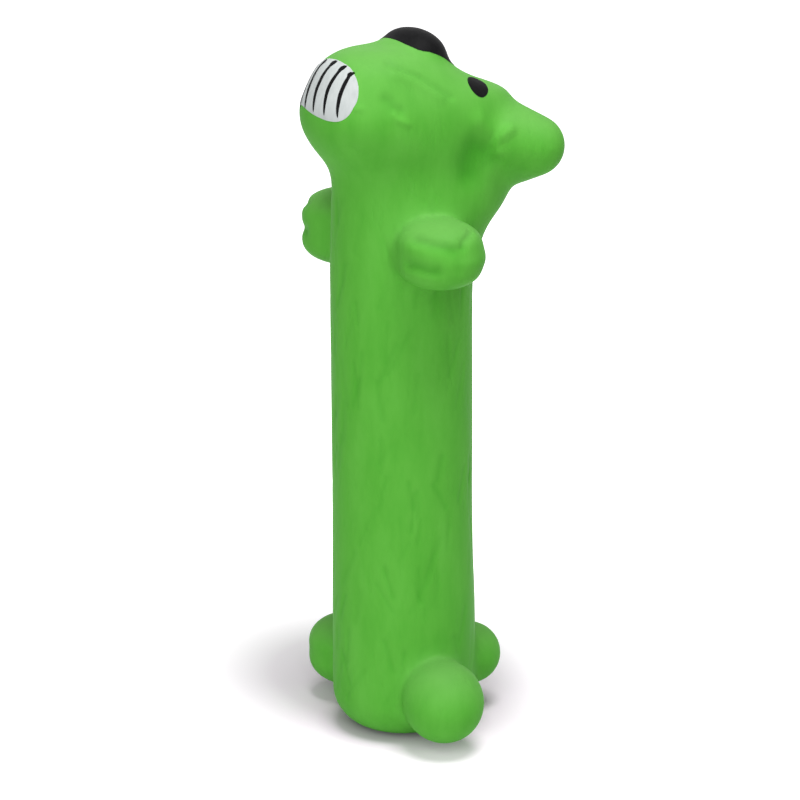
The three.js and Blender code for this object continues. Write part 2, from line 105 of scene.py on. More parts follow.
def wrapInVoxels(obj, size):
    remesh = obj.modifiers.new('oneSkin', 'REMESH')
    remesh.mode = 'VOXEL'
    remesh.voxel_size = size
    remesh.use_smooth_shade = True
    finishModifiers(obj)


def soften(obj, share, rounds):
    smooth = obj.modifiers.new('soften', 'SMOOTH')
    smooth.factor = share
    smooth.iterations = rounds
    finishModifiers(obj)


def pointsOf(obj):
    flat = np.empty(len(obj.data.vertices) * 3)
    obj.data.vertices.foreach_get('co', flat)
    return flat.reshape(-1, 3)


def normalsOf(obj):
    flat = np.empty(len(obj.data.vertices) * 3)
    obj.data.vertex_normals.foreach_get('vector', flat)
    return flat.reshape(-1, 3)


def movePoints(obj, points):
    obj.data.vertices.foreach_set('co', points.ravel())
    obj.data.update()


# The camera of the main picture: degrees round from the belly, metres, millimetres of lens
photoCamera = {
    'turn': 58,
    'reach': 1.139,
    'height': 0.459,
    'lookAt': (-0.00043, -0.00069, 0.1454),
    'lens': 125.4,
    'sensor': 36,
    'roll': -0.27,
}


def addCamera():
    turn = math.radians(photoCamera['turn'])
    reach = photoCamera['reach']
    place = Vector((math.sin(turn) * reach, -math.cos(turn) * reach, photoCamera['height']))
    aim = Vector(photoCamera['lookAt']) - place
    data = bpy.data.cameras.new('photoCamera')
    data.sensor_width = photoCamera['sensor']
    data.lens = photoCamera['lens']
    camera = bpy.data.objects.new('photoCamera', data)
    bpy.context.collection.objects.link(camera)
    camera.location = place
    turned = aim.to_track_quat('-Z', 'Y').to_matrix()
    turned = turned @ Matrix.Rotation(math.radians(photoCamera['roll']), 3, 'Z')
    camera.rotation_euler = turned.to_euler()
    bpy.context.scene.camera = camera


addCamera()
print('the camera stands')


# Node helpers for the finishes
def newMaterial(name):
    material = bpy.data.materials.new(name)
    material.use_nodes = True
    nodes = material.node_tree.nodes
    nodes.clear()
    output = nodes.new('ShaderNodeOutputMaterial')
    shader = nodes.new('ShaderNodeBsdfPrincipled')
    material.node_tree.links.new(shader.outputs['BSDF'], output.inputs['Surface'])
    return material, nodes, material.node_tree.links, shader


# A colour picker's 0 to 255 in linear light
def linear(red, green, blue):
    def channel(value):
        share = value / 255
        return share / 12.92 if share <= 0.04045 else ((share + 0.055) / 1.055) ** 2.4
    return (channel(red), channel(green), channel(blue), 1)


def objectCoordinates(nodes, links, scale=(1, 1, 1), turn=(0, 0, 0)):
    coordinates = nodes.new('ShaderNodeTexCoord')
    mapping = nodes.new('ShaderNodeMapping')
    mapping.inputs['Scale'].default_value = scale
    mapping.inputs['Rotation'].default_value = turn
    links.new(coordinates.outputs['Object'], mapping.inputs['Vector'])
    return mapping.outputs['Vector']


def noiseField(nodes, links, vector, scale, detail=3, roughness=0.5, distortion=0):
    field = nodes.new('ShaderNodeTexNoise')
    field.inputs['Scale'].default_value = scale
    field.inputs['Detail'].default_value = detail
    field.inputs['Roughness'].default_value = roughness
    field.inputs['Distortion'].default_value = distortion
    links.new(vector, field.inputs['Vector'])
    return field.outputs['Fac']


def ramp(nodes, links, value, stops):
    node = nodes.new('ShaderNodeValToRGB')
    elements = node.color_ramp.elements
    while len(elements) < len(stops):
        elements.new(0.5)
    for element, (place, colour) in zip(elements, stops):
        element.position = place
        element.color = colour
    links.new(value, node.inputs['Fac'])
    return node.outputs['Color']


def mixed(nodes, links, first, second, share):
    node = nodes.new('ShaderNodeMix')
    node.data_type = 'RGBA'
    links.new(share, node.inputs[0])
    links.new(first, node.inputs[6])
    node.inputs[7].default_value = second
    return node.outputs[2]


def spread(nodes, links, value, low, high, fromLow=0.3, fromHigh=0.7):
    node = nodes.new('ShaderNodeMapRange')
    node.inputs['From Min'].default_value = fromLow
    node.inputs['From Max'].default_value = fromHigh
    node.inputs['To Min'].default_value = low
    node.inputs['To Max'].default_value = high
    links.new(value, node.inputs['Value'])
    return node.outputs['Result']


def twoValues(nodes, links, operation, first, second):
    node = nodes.new('ShaderNodeMath')
    node.operation = operation
    links.new(first, node.inputs[0])
    links.new(second, node.inputs[1])
    return node.outputs[0]


def attributeValue(nodes, name):
    node = nodes.new('ShaderNodeAttribute')
    node.attribute_name = name
    return node.outputs['Fac']


def bumped(nodes, links, height, strength, distance, before=None):
    node = nodes.new('ShaderNodeBump')
    node.inputs['Strength'].default_value = strength
    node.inputs['Distance'].default_value = distance
    links.new(height, node.inputs['Height'])
    if before is not None:
        links.new(before, node.inputs['Normal'])
    return node.outputs['Normal']


# Green latex: satin, cloudy in its colour, with the mould's fur strokes, painted shade in its folds
# and grooves and painted light on its upward faces. The sizes of its noises are how many fit in a
# metre
latexFinish = {
    'middle': linear(90, 174, 60),
    'light': linear(97, 180, 67),
    'dark': linear(83, 168, 54),
    'paintedCreaseShade': linear(58, 146, 35),
    'paintedCreaseShadeShare': 0.75,
    'paintedTopLight': linear(112, 165, 90),
    'roughness': (0.5, 0.62),
    'specular': 0.05,
    'clouds': 90,
    'strands': 330,
    'strandSpread': (0, 0.34, 0.52, 0.72),
    'patches': 70,
    'patchSpread': (0, 1, 0.42, 0.62),
    'furScale': (1, 1, 0.3),
    'furTurn': (0.14, -0.12, 0),
    'furStrength': 0.35,
    'furDepth': 0.0009,
    'grain': 1400,
    'grainStrength': 0.1,
    'grainHeight': 0.0002,
}


def makeLatex():
    finish = latexFinish
    material, nodes, links, shader = newMaterial('greenLatex')
    plain = objectCoordinates(nodes, links)
    fur = objectCoordinates(nodes, links, finish['furScale'], finish['furTurn'])
    clouds = noiseField(nodes, links, fur, finish['clouds'], detail=4, roughness=0.6)
    colour = ramp(nodes, links, clouds, [
        (0.3, finish['dark']),
        (0.5, finish['middle']),
        (0.72, finish['light']),
    ])
    strands = noiseField(nodes, links, fur, finish['strands'], detail=2, roughness=0.6)
    patches = noiseField(nodes, links, plain, finish['patches'], detail=1)
    strandGrooveAndShade = twoValues(
        nodes, links, 'MULTIPLY',
        spread(nodes, links, strands, *finish['strandSpread']),
        spread(nodes, links, patches, *finish['patchSpread']))
    # Painted shade: the strands' grooves in the bump are also darkened in colour
    colour = mixed(nodes, links, colour, finish['dark'], strandGrooveAndShade)
    # Painted shade in the carved creases, hollows and fur strokes, darker where they are cut deeper
    paintedCreaseShadeShare = spread(nodes, links, attributeValue(nodes, 'paintedCreaseShade'), 0, finish['paintedCreaseShadeShare'], 0, 1)
    colour = mixed(nodes, links, colour, finish['paintedCreaseShade'], paintedCreaseShadeShare)
    # Painted top light: upward faces are mixed towards a lighter, greyer green
    colour = mixed(nodes, links, colour, finish['paintedTopLight'], attributeValue(nodes, 'paintedTopLight'))
    links.new(colour, shader.inputs['Base Color'])
    links.new(spread(nodes, links, clouds, *finish['roughness']), shader.inputs['Roughness'])
    shader.inputs['Specular IOR Level'].default_value = finish['specular']
    grain = noiseField(nodes, links, plain, finish['grain'], detail=2)
    relief = bumped(nodes, links, grain, finish['grainStrength'], finish['grainHeight'])
    relief = bumped(nodes, links, strandGrooveAndShade, finish['furStrength'], -finish['furDepth'], relief)
    links.new(relief, shader.inputs['Normal'])
    return material


# Brushed paint on the latex: near black or white, satin, with the brush's faint drag
paintFinishes = {
    'blackPaint': {'colour': (16, 16, 17), 'drag': (25, 25, 26), 'roughness': (0.46, 0.58)},
    'whitePaint': {'colour': (194, 199, 198), 'drag': (181, 187, 186), 'roughness': (0.4, 0.55)},
}
paintSurface = {
    'specular': 0.04,
    'drags': 500,
    'dragScale': (1, 1, 0.3),
    'grain': 1600,
    'grainStrength': 0.12,
    'grainHeight': 0.0002,
}


def twoTone(nodes, links, value, first, second):
    return ramp(nodes, links, value, [(0.35, linear(*first)), (0.75, linear(*second))])


def makePaint(name):
    finish, surface = paintFinishes[name], paintSurface
    material, nodes, links, shader = newMaterial(name)
    plain = objectCoordinates(nodes, links)
    drawn = objectCoordinates(nodes, links, surface['dragScale'])
    drag = noiseField(nodes, links, drawn, surface['drags'], detail=3, roughness=0.6)
    colour = twoTone(nodes, links, drag, finish['colour'], finish['drag'])
    links.new(colour, shader.inputs['Base Color'])
    links.new(spread(nodes, links, drag, *finish['roughness']), shader.inputs['Roughness'])
    shader.inputs['Specular IOR Level'].default_value = surface['specular']
    grain = noiseField(nodes, links, plain, surface['grain'], detail=2)
    relief = bumped(nodes, links, grain, surface['grainStrength'], surface['grainHeight'])
    links.new(relief, shader.inputs['Normal'])
    return material


# Moulded plastics of the squeaker and its reed
plasticFinishes = {
    'whitePlastic': {'colour': (232, 230, 222), 'worn': (219, 216, 206), 'roughness': (0.26, 0.4)},
    'reedPlastic': {'colour': (214, 197, 138), 'worn': (203, 184, 124), 'roughness': (0.24, 0.36)},
}
plasticSurface = {'flows': 190, 'grain': 2200, 'grainStrength': 0.08, 'grainHeight': 0.0001}


def makePlastic(name):
    finish, surface = plasticFinishes[name], plasticSurface
    material, nodes, links, shader = newMaterial(name)
    plain = objectCoordinates(nodes, links)
    flow = noiseField(nodes, links, plain, surface['flows'], detail=3)
    colour = twoTone(nodes, links, flow, finish['colour'], finish['worn'])
    links.new(colour, shader.inputs['Base Color'])
    links.new(spread(nodes, links, flow, *finish['roughness']), shader.inputs['Roughness'])
    grain = noiseField(nodes, links, plain, surface['grain'], detail=1)
    relief = bumped(nodes, links, grain, surface['grainStrength'], surface['grainHeight'])
    links.new(relief, shader.inputs['Normal'])
    return material


# Loose white polyester fibre
fibreFinish = {
    'shade': linear(214, 212, 204),
    'light': linear(244, 243, 238),
    'roughness': 0.95,
    'sheen': 0.4,
    'curls': 420,
    'curlTwist': 2.5,
    'curlStrength': 0.8,
    'curlHeight': 0.0012,
}


def makeFibre():
    finish = fibreFinish
    material, nodes, links, shader = newMaterial('whiteFibre')
    plain = objectCoordinates(nodes, links)
    curls = noiseField(nodes, links, plain, finish['curls'], 6, 0.7, finish['curlTwist'])
    colour = ramp(nodes, links, curls, [(0.3, finish['shade']), (0.7, finish['light'])])
    links.new(colour, shader.inputs['Base Color'])
    shader.inputs['Roughness'].default_value = finish['roughness']
    shader.inputs['Sheen Weight'].default_value = finish['sheen']
    relief = bumped(nodes, links, curls, finish['curlStrength'], finish['curlHeight'])
    links.new(relief, shader.inputs['Normal'])
    return material


greenLatex = makeLatex()
blackPaint = makePaint('blackPaint')
whitePaint = makePaint('whitePaint')
whitePlastic = makePlastic('whitePlastic')
reedPlastic = makePlastic('reedPlastic')
whiteFibre = makeFibre()
print('the finishes are mixed')


# The body's level curves from the floor up: height, reach to the belly, to the back and to the
# side, and how oval its front and back halves are, from 1 down to less for a squarer one
skinShape = {
    'columns': 96,
    'ringsPerLevel': 4,
    'leastRise': 0.0001,
    'wall': 0.002,
    'voxel': 0.0011,
    'softenShare': 0.5,
    'softenRounds': 7,
    'crease': 50,
    'levels': [
        (0, 0.0122, 0.0122, 0.0122, 1, 1),
        (0.0008, 0.0166, 0.0166, 0.0166, 1, 1),
        (0.0028, 0.0219, 0.0219, 0.0219, 1, 1),
        (0.0062, 0.0262, 0.0262, 0.0262, 1, 1),
        (0.0108, 0.0292, 0.0292, 0.0292, 1, 1),
        (0.0172, 0.0306, 0.0308, 0.0306, 1, 1),
        (0.04, 0.0305, 0.0315, 0.0305, 1, 1),
        (0.06, 0.0304, 0.0312, 0.0304, 1, 1),
        (0.08, 0.0302, 0.0303, 0.0302, 1, 1),
        (0.104, 0.03, 0.03, 0.03, 1, 1),
        (0.132, 0.03, 0.03, 0.03, 1, 1),
        (0.2, 0.03, 0.03, 0.03, 1, 1),
        (0.21, 0.03, 0.03288, 0.03, 1, 1),
        (0.22, 0.03, 0.038, 0.03, 1, 1),
        (0.23, 0.03, 0.0474, 0.03, 1, 1),
        (0.243, 0.03, 0.054, 0.03, 1, 1),
        (0.24894, 0.03285, 0.0567, 0.03007, 0.95, 0.95),
        (0.2565, 0.03848, 0.05254, 0.03069, 0.88, 0.85),
        (0.26406, 0.0423, 0.04968, 0.031, 0.84, 0.76),
        (0.27162, 0.0432, 0.04752, 0.03038, 0.82, 0.68),
        (0.27756, 0.0414, 0.04212, 0.02852, 0.82, 0.62),
        (0.2835, 0.0387, 0.027, 0.02542, 0.85, 0.62),
        (0.2889, 0.0358, 0.01809, 0.0222, 0.9, 0.7),
        (0.29322, 0.0308, 0.0135, 0.018, 0.95, 0.82),
        (0.29612, 0.0228, 0.00918, 0.0122, 1, 1),
        (0.2973, 0.004, 0.0035, 0.0025, 1, 1),
    ],
}


# The level curve at a place between two of them, on one smooth line through all
def levelAt(place):
    levels = skinShape['levels']
    i = min(int(place), len(levels) - 2)
    t = place - i
    before = levels[max(i - 1, 0)]
    after = levels[min(i + 2, len(levels) - 1)]
    found = []
    for k in range(6):
        start, end = levels[i][k], levels[i + 1][k]
        slopeIn, slopeOut = (end - before[k]) / 2, (after[k] - start) / 2
        found.append(
            (2 * t ** 3 - 3 * t ** 2 + 1) * start + (t ** 3 - 2 * t ** 2 + t) * slopeIn
            + (3 * t ** 2 - 2 * t ** 3) * end + (t ** 3 - t ** 2) * slopeOut
        )
    return found


def addTorso():
    perLevel = skinShape['ringsPerLevel']
    rings = [levelAt(i / perLevel) for i in range(perLevel * (len(skinShape['levels']) - 1) + 1)]
    rings = [
        ring for k, ring in enumerate(rings)
        if k == 0 or ring[0] > rings[k - 1][0] + skinShape['leastRise']
    ]
    first = rings[0]
    bpy.ops.mesh.primitive_circle_add(
        vertices=skinShape['columns'], radius=first[1], fill_type='NGON', location=(0, 0, first[0]))
    torso = bpy.context.object
    bpy.ops.object.mode_set(mode='EDIT')
    for last, ring in zip(rings, rings[1:]):
        lastMiddle, middle = (last[2] - last[1]) / 2, (ring[2] - ring[1]) / 2
        bpy.ops.mesh.extrude_region_move(
            TRANSFORM_OT_translate={'value': (0, middle - lastMiddle, ring[0] - last[0])})
        bpy.ops.transform.resize(
            value=(ring[3] / last[3], (ring[1] + ring[2]) / (last[1] + last[2]), 1),
            center_override=(0, middle, ring[0]))
    bpy.ops.mesh.select_all(action='SELECT')
    bpy.ops.mesh.normals_make_consistent(inside=False)
    bpy.ops.object.mode_set(mode='OBJECT')
    settle(torso, 'torso')
    squareRings(torso, rings)
    return torso


# The head is squarer than an oval, so its points go out to the corners
def squareRings(torso, rings):
    points = pointsOf(torso)
    heights = np.array([ring[0] for ring in rings])
    nearest = np.abs(points[:, 2][:, None] - heights[None, :]).argmin(axis=1)
    table = np.array(rings)[nearest]
    middle = (table[:, 2] - table[:, 1]) / 2
    reach = (table[:, 2] + table[:, 1]) / 2
    turn = np.arctan2(points[:, 0] / table[:, 3], -(points[:, 1] - middle) / reach)
    across, along = np.sin(turn), np.cos(turn)
    roundness = np.where(along > 0, table[:, 4], table[:, 5])
    points[:, 0] = table[:, 3] * np.sign(across) * np.abs(across) ** roundness
    points[:, 1] = middle - reach * np.sign(along) * np.abs(along) ** roundness
    movePoints(torso, points)


ballMesh = {'segments': 48, 'rings': 24}


def addBall(place, halfSizes, turn=(0, 0, 0)):
    bpy.ops.mesh.primitive_uv_sphere_add(
        segments=ballMesh['segments'], ring_count=ballMesh['rings'], radius=1)
    ball = bpy.context.object
    ball.location = place
    ball.rotation_euler = turn
    ball.scale = halfSizes
    return settle(ball, 'ball')


# Paws: three fingers, one above the other, and on the left one a fuller root towards the belly.
# A limb's turn is in degrees round from the belly. For each ball of it: degrees round from there,
# metres out from the axis and up, and half its size outwards, round the body and up
pawShape = {
    'turn': 82,
    'balls': [
        (0, 0.0385, 0.2203, 0.0186, 0.0176, 0.0106),
        (1, 0.0385, 0.2152, 0.0194, 0.0182, 0.0098),
        (0, 0.0385, 0.2111, 0.0186, 0.0172, 0.0091),
        (-10, 0.031, 0.2154, 0.0112, 0.0116, 0.0112),
    ],
}
rightPawShape = {
    'turn': 82,
    'balls': [
        (0, 0.0386, 0.2208, 0.0183, 0.0176, 0.0107),
        (1, 0.0385, 0.2152, 0.0194, 0.0182, 0.0098),
        (0, 0.0388, 0.2088, 0.0184, 0.0176, 0.0104),
    ],
}
# Feet and tail: plain balls, the right foot pressed a little flatter
footShape = {'turn': 83.8, 'balls': [(0, 0.039, 0.0225, 0.0184, 0.0172, 0.0177)]}
rightFootShape = {
    'turn': 83.8,
    'balls': [
        (0, 0.0398, 0.026, 0.0182, 0.0172, 0.0122),
        (0, 0.0398, 0.0188, 0.0182, 0.0172, 0.0124),
    ],
}
tailShape = {'turn': 180, 'balls': [(0, 0.0343, 0.0249, 0.0141, 0.0142, 0.0138)]}


def addLimb(shape, side):
    made = []
    for degrees, out, height, halfOut, halfRound, halfUp in shape['balls']:
        turn = side * math.radians(shape['turn'] + degrees)
        place = (math.sin(turn) * out, -math.cos(turn) * out, height)
        made.append(addBall(place, (halfOut, halfRound, halfUp), (0, 0, turn - math.pi / 2)))
    return made


# Ears: a thick lobe from the head to its tip, wrapped round five balls: each ball's middle on the
# left side and its radius
earShape = {
    'bridge': ((0.014, 0.032, 0.266), 0.0115),
    'root': ((0.014, 0.037, 0.2575), 0.0155),
    'lap': ((0.019, 0.0435, 0.2491), 0.0121),
    'front': ((0.024, 0.0365, 0.257), 0.0132),
    'tip': ((0.029, 0.047, 0.2543), 0.0129),
}


def addEar(side):
    balls = [addBall((side * x, y, z), (radius,) * 3) for (x, y, z), radius in earShape.values()]
    ear = joinInto(balls[0], balls[1:])
    bpy.ops.object.mode_set(mode='EDIT')
    bpy.ops.mesh.select_all(action='SELECT')
    bpy.ops.mesh.convex_hull()
    bpy.ops.object.mode_set(mode='OBJECT')
    return ear


# The nose stands up on a green bed on the crown, tipped back
noseShape = {'place': (0, 0.0066, 0.293), 'halfSizes': (0.0172, 0.0124, 0.0098), 'tilt': 24}
noseBed = {'place': (0, -0.002, 0.2882), 'halfSizes': (0.0145, 0.0152, 0.0102), 'tilt': 12}


def addNose():
    return [
        addBall(shape['place'], shape['halfSizes'], (-math.radians(shape['tilt']), 0, 0))
        for shape in (noseShape, noseBed)
    ]


def mouldSkin():
    torso = addTorso()
    parts = addNose() + addLimb(tailShape, 1)
    for side, paw, foot in ((1, pawShape, footShape), (-1, rightPawShape, rightFootShape)):
        parts += addLimb(paw, side) + addLimb(foot, side)
        parts.append(addEar(side))
    skin = joinInto(torso, parts)
    settle(skin, 'skin')
    wrapInVoxels(skin, skinShape['voxel'])
    soften(skin, skinShape['softenShare'], skinShape['softenRounds'])
    return skin


skin = mouldSkin()
print('the skin is moulded:', len(skin.data.polygons), 'faces')


# Wet latex gathers in the hollows: each round moves a point outwards towards its neighbours' mean,
# and the rounds after that even out both sides
filling = {'rounds': 50, 'share': 0.9, 'after': 10, 'afterShare': 0.5, 'keepNormals': 5}


def fillHollows(obj):
    ends = np.empty(len(obj.data.edges) * 2, dtype=np.int64)
    obj.data.edges.foreach_get('vertices', ends)
    first, second = ends.reshape(-1, 2).T
    points = pointsOf(obj)
    count = len(points)
    neighbours = np.bincount(first, minlength=count) + np.bincount(second, minlength=count)
    for step in range(filling['rounds'] + filling['after']):
        if step % filling['keepNormals'] == 0:
            movePoints(obj, points)
            normals = normalsOf(obj)
        total = np.stack([
            np.bincount(first, points[second, axis], count)
            + np.bincount(second, points[first, axis], count)
            for axis in range(3)
        ], axis=1)
        pull = total / neighbours[:, None] - points
        if step < filling['rounds']:
            outwards = np.clip((pull * normals).sum(axis=1), 0, None)
            points += filling['share'] * outwards[:, None] * normals
        else:
            points += filling['afterShare'] * pull
    movePoints(obj, points)


fillHollows(skin)
print('the hollows are filled')


# How much of a stroke's depth each point takes: all on its path, and less to the sides
def fallOff(points, path, width):
    path = np.array(path)
    near = np.full(len(points), np.inf)
    for start, end in zip(path, path[1:]):
        along = end - start
        share = np.clip(((points - start) @ along) / (along @ along), 0, 1)
        offset = points - start - share[:, None] * along
        near = np.minimum(near, np.sqrt((offset ** 2).sum(axis=1)))
    return np.exp(-(near / width) ** 2)


# What the mould's carver cut, on the toy's left side and mirrored on its right: points in
# metres on the skin, half width and depth, a ridge where the depth is below zero
carving = {
    'pawGroove1': {
        'path': [
            (0.0428, -0.0193, 0.2244), (0.0463, -0.0182, 0.2239), (0.0495, -0.0164, 0.2232),
            (0.0524, -0.0136, 0.2222), (0.0543, -0.0099, 0.2216),
        ],
        'width': 0.0025,
        'depth': 0.0012,
    },
    'pawGroove2': {
        'path': [
            (0.0408, -0.0211, 0.2145), (0.0449, -0.0202, 0.2142), (0.049, -0.018, 0.2135),
            (0.0518, -0.0155, 0.2129),
        ],
        'width': 0.0025,
        'depth': 0.0012,
    },
    'pawCrease': {
        'path': [
            (0.0496, 0.0016, 0.2262), (0.0527, -0.0016, 0.2251), (0.0544, -0.0049, 0.2238),
            (0.0549, -0.0062, 0.222),
        ],
        'width': 0.0014,
        'depth': 0.0009,
    },
    'pawFold': {
        'path': [
            (0.0549, -0.0062, 0.222), (0.0562, -0.0077, 0.2183), (0.0565, -0.0082, 0.2143),
        ],
        'width': 0.0024,
        'depth': 0.0004,
    },
    'browGroove': {
        'path': [
            (0.0174, -0.0164, 0.291), (0.0196, -0.0134, 0.2895), (0.0214, -0.01, 0.2879),
            (0.0235, -0.0054, 0.2853), (0.0253, -0.0013, 0.2827), (0.0268, 0.0031, 0.2803),
            (0.0277, 0.0063, 0.2779),
        ],
        'width': 0.0017,
        'depth': 0.0007,
    },
    'browRidge': {
        'path': [
            (0.0215, -0.0158, 0.2879), (0.0239, -0.0102, 0.2853), (0.0264, -0.0042, 0.2815),
            (0.0284, 0.0013, 0.2777),
        ],
        'width': 0.0022,
        'depth': -0.0005,
    },
    'dimple': {
        'path': [
            (0.0246, -0.0222, 0.2785), (0.0255, -0.0209, 0.2772), (0.0264, -0.0197, 0.2757),
            (0.0275, -0.0179, 0.274),
        ],
        'width': 0.0024,
        'depth': 0.0008,
    },
    'cheekCrease': {
        'path': [
            (0.028, -0.0206, 0.2731), (0.0287, -0.0192, 0.2713), (0.0294, -0.0169, 0.27),
            (0.0299, -0.0147, 0.2693),
        ],
        'width': 0.0013,
        'depth': -0.0006,
    },
    'mouthCrease': {
        'path': [(0.0203, -0.0337, 0.2757), (0.0219, -0.0318, 0.2753)],
        'width': 0.0012,
        'depth': -0.0004,
    },
    'earHollow': {
        'path': [
            (0.0279, 0.0172, 0.2552), (0.028, 0.016, 0.2522), (0.0282, 0.0152, 0.2492),
            (0.0284, 0.015, 0.2465),
        ],
        'width': 0.0074,
        'depth': 0.002,
    },
    'earBridge': {
        'path': [
            (0.0275, 0.0185, 0.2665), (0.0283, 0.0215, 0.2645), (0.029, 0.0242, 0.262),
        ],
        'width': 0.0045,
        'depth': -0.0013,
    },
    'earGroove': {
        'path': [
            (0.0312, 0.0266, 0.2592), (0.0305, 0.025, 0.2564), (0.0301, 0.0243, 0.2538),
            (0.0298, 0.0246, 0.2504),
        ],
        'width': 0.0036,
        'depth': 0.0009,
    },
    'earRim': {
        'path': [
            (0.0345, 0.0312, 0.2634), (0.0331, 0.0291, 0.2614), (0.0321, 0.0275, 0.2593),
            (0.0318, 0.0265, 0.2569), (0.0319, 0.0262, 0.2541),
        ],
        'width': 0.0023,
        'depth': -0.0016,
    },
    'jawStroke': {
        'path': [(0.018, -0.0343, 0.2604), (0.0188, -0.032, 0.2579)],
        'width': 0.0012,
        'depth': 0.0004,
    },
}
# The long fur strokes of the body, soft and mostly upright, each with painted shade along its
# groove
furStrokes = {
    'seed': 7,
    'count': 260,
    'out': 0.0303,
    'girth': 0.03,
    'lowest': 0.02,
    'highest': 0.235,
    'length': (0.008, 0.02),
    'lean': 0.12,
    'unruly': 0.3,
    'width': (0.0008, 0.0015),
    'depth': (0.00012, 0.0003),
    'paintedShade': 0.38,
}
# How carved strokes and upward faces are painted on the latex: the depth of a cut that takes the
# whole painted shade of a crease, the most painted top light, and how fast it fades down the sides
paintedSkinLight = {'paintedCreaseShadeDepth': 0.0022, 'paintedTopLight': 0.55, 'paintedTopLightPower': 1.2}


def carve(obj):
    points, normals = pointsOf(obj), normalsOf(obj)
    depths = np.zeros(len(points))
    # Each cut also adds painted shade, as dark as it is deep, to an attribute
    paintedShade = np.zeros(len(points))
    for stroke in carving.values():
        for side in (1, -1):
            path = [
                points[((points - (side * x, y, z)) ** 2).sum(axis=1).argmin()]
                for x, y, z in stroke['path']
            ]
            cut = stroke['depth'] * fallOff(points, path, stroke['width'])
            depths += cut
            paintedShade += cut / paintedSkinLight['paintedCreaseShadeDepth']
    random.seed(furStrokes['seed'])
    out = furStrokes['out']
    for _ in range(furStrokes['count']):
        turn = random.uniform(-math.pi, math.pi)
        height = random.uniform(furStrokes['lowest'], furStrokes['highest'])
        length = random.uniform(*furStrokes['length'])
        lean = random.gauss(furStrokes['lean'], furStrokes['unruly'])
        width = random.uniform(*furStrokes['width'])
        depth = random.uniform(*furStrokes['depth'])
        path = []
        for share in (-0.5, 0, 0.5):
            bearing = turn + lean * share * length / furStrokes['girth']
            path.append(
                (math.sin(bearing) * out, -math.cos(bearing) * out, height + share * length))
        close = np.abs(points[:, 2] - height) < length
        mark = fallOff(points[close], path, width)
        depths[close] += depth * mark
        paintedShade[close] += furStrokes['paintedShade'] * mark * depth / furStrokes['depth'][1]
    movePoints(obj, points - normals * depths[:, None])
    # Painted top light: the more a point faces up, the lighter its colour
    paintedTopLight = paintedSkinLight['paintedTopLight'] * np.clip(normals[:, 2], 0, 1) ** paintedSkinLight['paintedTopLightPower']
    for name, values in (('paintedCreaseShade', np.clip(paintedShade, 0, 1)), ('paintedTopLight', paintedTopLight)):
        attribute = obj.data.attributes.new(name, 'FLOAT', 'POINT')
        attribute.data.foreach_set('value', values)


carve(skin)
print('the skin is carved')


# Painted parts: a thin coat of the skin's own surface, cut out by a prism with the brush's outline
coatShape = {'under': 0.00015, 'over': 0.00012, 'crease': 40}
# Each paint's outline and lines are in millimetres, seen from the front for the mouth and from the
# side for the rest. The box that holds its surface and the prism's start and reach are in metres
perMetre = 1000
mouthShape = {
    'outline': [
        (0, 292.9), (4.9, 292.5), (9.4, 291.4), (12.3, 290.1), (14.6, 288.3), (16.3, 286.5),
        (17.8, 284.2), (19.1, 281), (19.6, 278.2), (19.5, 275.7), (18.9, 273.3), (17.6, 271.5),
        (15.4, 270.4), (12.7, 270.2), (9.8, 270.5), (5.4, 271.3), (0, 272.3), (-5, 273.4),
        (-9.4, 273.9), (-13, 273.8), (-16, 274.2), (-18.2, 275.6), (-19.2, 278.2),
        (-18.9, 281.2), (-17.8, 284.2), (-16.3, 286.5), (-14.6, 288.4), (-12.3, 290.2),
        (-9.4, 291.6), (-4.9, 292.6),
    ],
    'low': (-0.028, -0.06, 0.255),
    'high': (0.028, -0.008, 0.3),
    'start': -0.06,
    'reach': 0.055,
}
# Tooth lines: each one's path and width. The brush is set down, drawn and lifted alike on all of
# them: the share of the way, and of the width there
lineShape = {
    'lines': [
        ([(-17, 284.9), (-17.3, 282.5), (-17.4, 280), (-17.1, 276.5), (-16.2, 273.4)], 1.4),
        ([(-13.1, 289.2), (-13.3, 286.5), (-13.2, 282.5), (-12.7, 278.5), (-11.1, 272.6)], 1.5),
        ([(-5.8, 292.2), (-7, 288.6), (-7.6, 283.5), (-7, 279), (-4.9, 273.3)], 1.8),
        ([(1.8, 292.7), (0.9, 289.5), (0, 285), (0, 280), (2.3, 272.8)], 1.8),
        ([(8.5, 291.5), (7.9, 288.2), (7.1, 284.3), (7.2, 280.5), (9.2, 272.3)], 1.6),
        ([(13.2, 289.4), (13.3, 286.9), (13.4, 282.6), (13.8, 279.2), (15.3, 272)], 1.35),
    ],
    'brush': [
        (0, 0.8), (0.03, 1.45), (0.09, 1.55), (0.15, 1.1), (0.21, 0.9),
        (0.4, 1.1), (0.7, 1.12), (0.88, 0.85), (0.97, 0.45), (1, 0.12),
    ],
    'steps': 8,
    'lift': 0.0001,
}
eyeShape = {
    'outline': [
        (19.8, 283.8), (22.1, 283.6), (24.6, 282.9), (27.1, 281.3), (27.2, 279.9), (26.1, 278.3),
        (24.5, 277.1), (22.2, 276.4), (20.1, 276.9), (18.5, 278.2), (17.5, 279.9), (17.3, 281.9),
        (18.2, 283.2),
    ],
    'across': (0.006, 0.04),
    'low': (0.01, 0.268),
    'high': (0.034, 0.292),
    'start': 0.008,
    'reach': 0.03,
}
